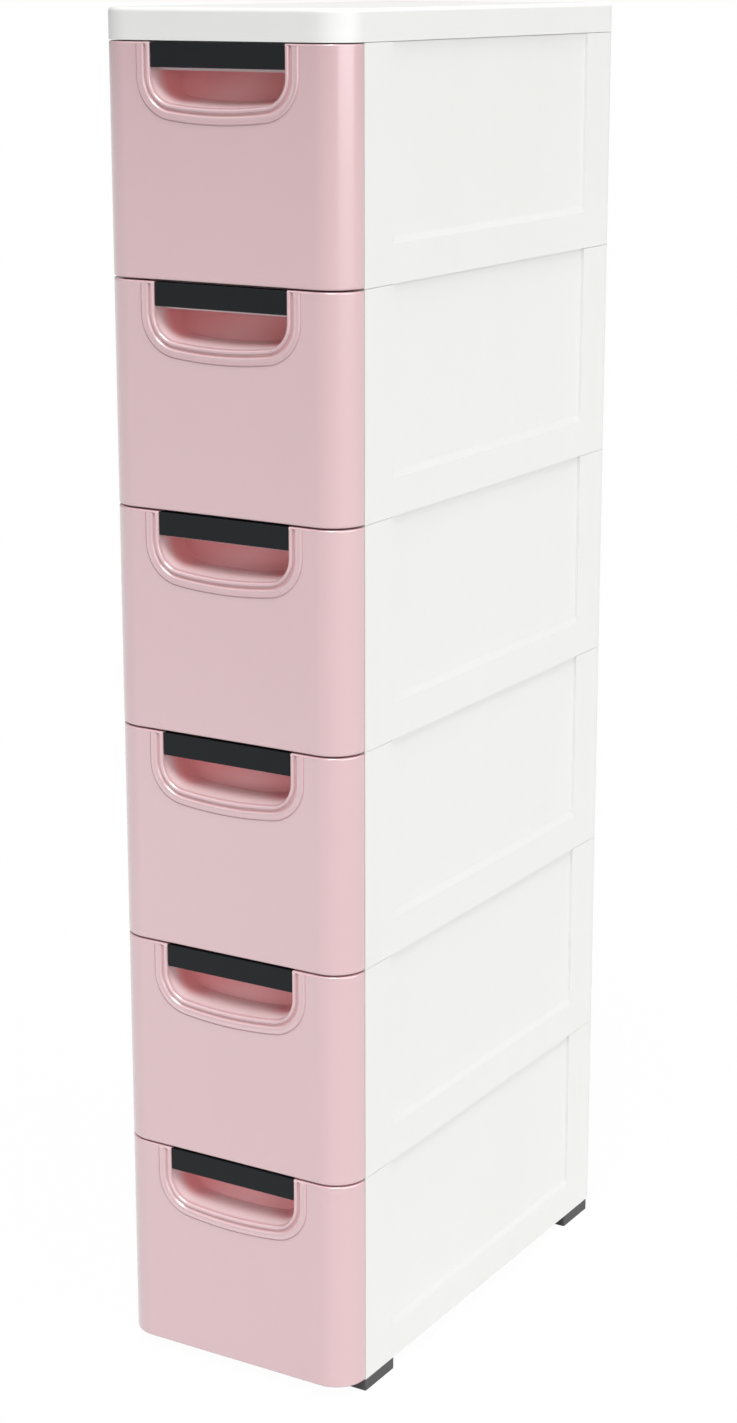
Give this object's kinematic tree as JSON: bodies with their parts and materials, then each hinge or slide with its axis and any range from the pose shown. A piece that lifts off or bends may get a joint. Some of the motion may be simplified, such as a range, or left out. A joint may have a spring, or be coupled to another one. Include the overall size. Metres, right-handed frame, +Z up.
{
  "type": "drawer tower",
  "caption": "Slim free-standing plastic drawer tower: a column of deep slide-out drawers with scooped finger pockets, in a stacked white shell on short feet.",
  "frame": {"origin": "middle of the footprint, on the floor", "axes": "+X to the right of someone facing the drawers, +Y from the drawer fronts to the back, +Z up"},
  "size_m": [0.2, 0.4, 1],
  "materials": {
    "shell_white": "smooth satin-gloss white polypropylene",
    "drawer_pink": "smooth satin-gloss dusty pink polypropylene",
    "grip_black": "smooth near-black plastic",
    "foot_grey": "matte dark grey plastic"
  },
  "bodies": {
    "cabinet": {"top_cover": "shell_white", "side_panel_left_1": "shell_white", "side_panel_left_2": "shell_white", "side_panel_left_3": "shell_white", "side_panel_left_4": "shell_white", "side_panel_left_5": "shell_white", "side_panel_left_6": "shell_white", "side_panel_right_1": "shell_white", "side_panel_right_2": "shell_white", "side_panel_right_3": "shell_white", "side_panel_right_4": "shell_white", "side_panel_right_5": "shell_white", "side_panel_right_6": "shell_white", "back_panel_1": "shell_white", "back_panel_2": "shell_white", "back_panel_3": "shell_white", "back_panel_4": "shell_white", "back_panel_5": "shell_white", "back_panel_6": "shell_white", "partition_frame_1": "shell_white", "partition_frame_2": "shell_white", "partition_frame_3": "shell_white", "partition_frame_4": "shell_white", "partition_frame_5": "shell_white", "base_frame": "shell_white", "foot_front_left": "foot_grey", "foot_front_right": "foot_grey", "foot_rear_left": "foot_grey", "foot_rear_right": "foot_grey"},
    "drawer_1": {"drawer_tub_1": "drawer_pink", "drawer_front_1": "drawer_pink", "grip_strip_1": "grip_black"},
    "drawer_2": {"drawer_tub_2": "drawer_pink", "drawer_front_2": "drawer_pink", "grip_strip_2": "grip_black"},
    "drawer_3": {"drawer_tub_3": "drawer_pink", "drawer_front_3": "drawer_pink", "grip_strip_3": "grip_black"},
    "drawer_4": {"drawer_tub_4": "drawer_pink", "drawer_front_4": "drawer_pink", "grip_strip_4": "grip_black"},
    "drawer_5": {"drawer_tub_5": "drawer_pink", "drawer_front_5": "drawer_pink", "grip_strip_5": "grip_black"},
    "drawer_6": {"drawer_tub_6": "drawer_pink", "drawer_front_6": "drawer_pink", "grip_strip_6": "grip_black"}
  },
  "joints": [
    {"name": "drawer_1_slide", "type": "slide", "parent": "cabinet", "child": "drawer_1", "axis": [0, -1, 0], "range_m": [0, 0.282]},
    {"name": "drawer_2_slide", "type": "slide", "parent": "cabinet", "child": "drawer_2", "axis": [0, -1, 0], "range_m": [0, 0.282]},
    {"name": "drawer_3_slide", "type": "slide", "parent": "cabinet", "child": "drawer_3", "axis": [0, -1, 0], "range_m": [0, 0.282]},
    {"name": "drawer_4_slide", "type": "slide", "parent": "cabinet", "child": "drawer_4", "axis": [0, -1, 0], "range_m": [0, 0.282]},
    {"name": "drawer_5_slide", "type": "slide", "parent": "cabinet", "child": "drawer_5", "axis": [0, -1, 0], "range_m": [0, 0.282]},
    {"name": "drawer_6_slide", "type": "slide", "parent": "cabinet", "child": "drawer_6", "axis": [0, -1, 0], "range_m": [0, 0.282]}
  ]
}
